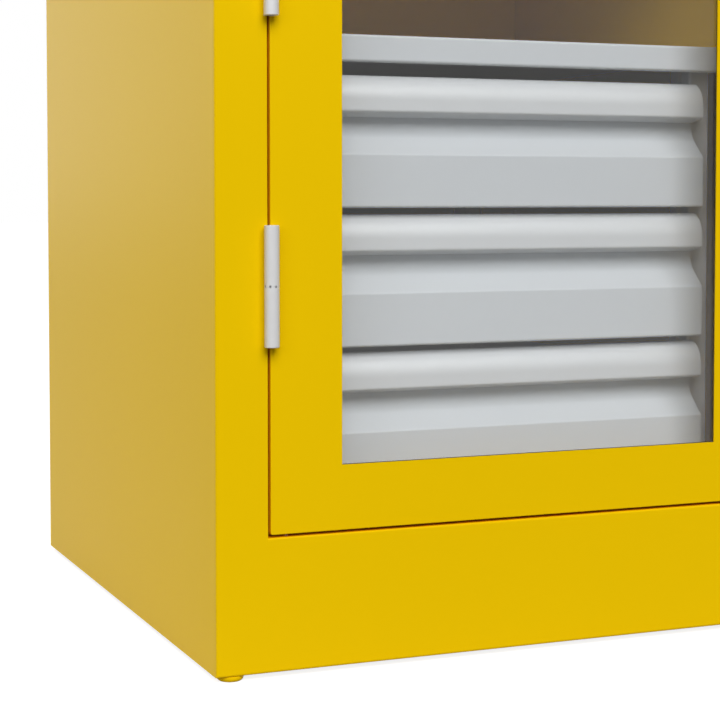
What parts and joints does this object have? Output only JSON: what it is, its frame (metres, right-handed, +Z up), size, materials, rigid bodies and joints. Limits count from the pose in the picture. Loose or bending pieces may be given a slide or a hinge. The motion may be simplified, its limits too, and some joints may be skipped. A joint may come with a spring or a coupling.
{
  "type": "heavy-duty workshop cabinet",
  "caption": "Floor-standing sheet-steel cabinet: side-hung door with a clear window and turning handle, full-width grip drawers on telescopic runners behind it, a shelf and an open upper space.",
  "frame": {"origin": "on the floor, below the middle of the box round the whole cabinet, handle included", "axes": "+X to the right as seen from the front, +Y to the back, +Z up; the door and drawers face -Y"},
  "size_m": [0.705, 0.774, 1.019],
  "materials": {
    "yellow_paint": "smooth semi-gloss powder coat",
    "grey_paint": "smooth satin powder coat",
    "grip_paint": "smooth semi-gloss powder coat on a rolled grip",
    "zinc": "bright zinc plate",
    "pale_steel": "pale turned steel",
    "dark_plastic": "fine-textured black plastic",
    "chrome": "polished",
    "glazing": "clear sheet",
    "white_plastic": "smooth"
  },
  "bodies": {
    "root": {"side_left": "yellow_paint", "side_right": "yellow_paint", "back_panel": "yellow_paint", "top_panel": "yellow_paint", "floor_panel": "yellow_paint", "head_rail": "yellow_paint", "plinth": "yellow_paint", "shelf": "grey_paint", "foot_front_left": "yellow_paint", "foot_front_right": "yellow_paint", "foot_rear_left": "yellow_paint", "foot_rear_right": "yellow_paint", "post_front_left": "grey_paint", "post_front_right": "grey_paint", "post_rear_left": "grey_paint", "post_rear_right": "grey_paint", "sill_button": "white_plastic", "lower_runner_fixed_left": "zinc", "lower_runner_fixed_right": "zinc", "middle_runner_fixed_left": "zinc", "middle_runner_fixed_right": "zinc", "upper_runner_fixed_left": "zinc", "upper_runner_fixed_right": "zinc", "lower_hinge_case_knuckle": "pale_steel", "lower_hinge_pin": "zinc", "upper_hinge_case_knuckle": "pale_steel", "upper_hinge_pin": "zinc"},
    "door": {"door_panel": "yellow_paint", "window_pane": "glazing", "pane_frame": "yellow_paint", "handle_rose": "dark_plastic", "lower_hinge_door_knuckle": "pale_steel", "upper_hinge_door_knuckle": "pale_steel"},
    "handle": {"handle": "dark_plastic", "lock_cam": "zinc"},
    "key": {"key_cylinder": "chrome"},
    "upper_rod": {"upper_lock_rod": "zinc"},
    "lower_rod": {"lower_lock_rod": "zinc"},
    "lower_drawer": {"lower_drawer_front": "grey_paint", "lower_drawer_grip": "grip_paint", "lower_drawer_tray": "grey_paint", "lower_runner_drawer_left": "zinc", "lower_runner_drawer_right": "zinc"},
    "middle_drawer": {"middle_drawer_front": "grey_paint", "middle_drawer_grip": "grip_paint", "middle_drawer_tray": "grey_paint", "middle_runner_drawer_left": "zinc", "middle_runner_drawer_right": "zinc"},
    "upper_drawer": {"upper_drawer_front": "grey_paint", "upper_drawer_grip": "grip_paint", "upper_drawer_tray": "grey_paint", "upper_runner_drawer_left": "zinc", "upper_runner_drawer_right": "zinc"},
    "lower_runner_stage": {"lower_runner_middle_left": "zinc", "lower_runner_middle_right": "zinc"},
    "middle_runner_stage": {"middle_runner_middle_left": "zinc", "middle_runner_middle_right": "zinc"},
    "upper_runner_stage": {"upper_runner_middle_left": "zinc", "upper_runner_middle_right": "zinc"}
  },
  "joints": [
    {"name": "door_swing", "type": "hinge", "parent": "root", "child": "door", "pos_m": [-0.29675, -0.3568, 0.553], "axis": [0, 0, -1], "range_deg": [0, 180]},
    {"name": "handle_turn", "type": "hinge", "parent": "door", "child": "handle", "pos_m": [0.2595, -0.349, 0.553], "axis": [0, -1, 0], "range_deg": [0, 90]},
    {"name": "key_turn", "type": "hinge", "parent": "handle", "child": "key", "pos_m": [0.2595, -0.38, 0.553], "axis": [0, -1, 0], "range_deg": [0, 90]},
    {"name": "upper_rod_slide", "type": "slide", "parent": "door", "child": "upper_rod", "axis": [0, 0, 1], "range_m": [0, 0.0255]},
    {"name": "lower_rod_slide", "type": "slide", "parent": "door", "child": "lower_rod", "axis": [0, 0, -1], "range_m": [0, 0.0255]},
    {"name": "lower_drawer_slide", "type": "slide", "parent": "root", "child": "lower_drawer", "axis": [0, -1, 0], "range_m": [0, 0.6]},
    {"name": "middle_drawer_slide", "type": "slide", "parent": "root", "child": "middle_drawer", "axis": [0, -1, 0], "range_m": [0, 0.6]},
    {"name": "upper_drawer_slide", "type": "slide", "parent": "root", "child": "upper_drawer", "axis": [0, -1, 0], "range_m": [0, 0.6]},
    {"name": "lower_stage_slide", "type": "slide", "parent": "root", "child": "lower_runner_stage", "axis": [0, -1, 0], "range_m": [0, 0.3]},
    {"name": "middle_stage_slide", "type": "slide", "parent": "root", "child": "middle_runner_stage", "axis": [0, -1, 0], "range_m": [0, 0.3]},
    {"name": "upper_stage_slide", "type": "slide", "parent": "root", "child": "upper_runner_stage", "axis": [0, -1, 0], "range_m": [0, 0.3]}
  ],
  "couplings": [
    {"joint": "handle_turn", "follows": "upper_rod_slide", "rad_per_m": 61.5},
    {"joint": "lower_rod_slide", "follows": "upper_rod_slide", "ratio": 1},
    {"joint": "lower_drawer_slide", "follows": "door_swing", "m_per_rad": 0.115},
    {"joint": "middle_drawer_slide", "follows": "door_swing", "m_per_rad": 0.08625},
    {"joint": "upper_drawer_slide", "follows": "door_swing", "m_per_rad": 0.0575},
    {"joint": "lower_stage_slide", "follows": "door_swing", "m_per_rad": 0.0575},
    {"joint": "middle_stage_slide", "follows": "door_swing", "m_per_rad": 0.043125},
    {"joint": "upper_stage_slide", "follows": "door_swing", "m_per_rad": 0.02875}
  ]
}
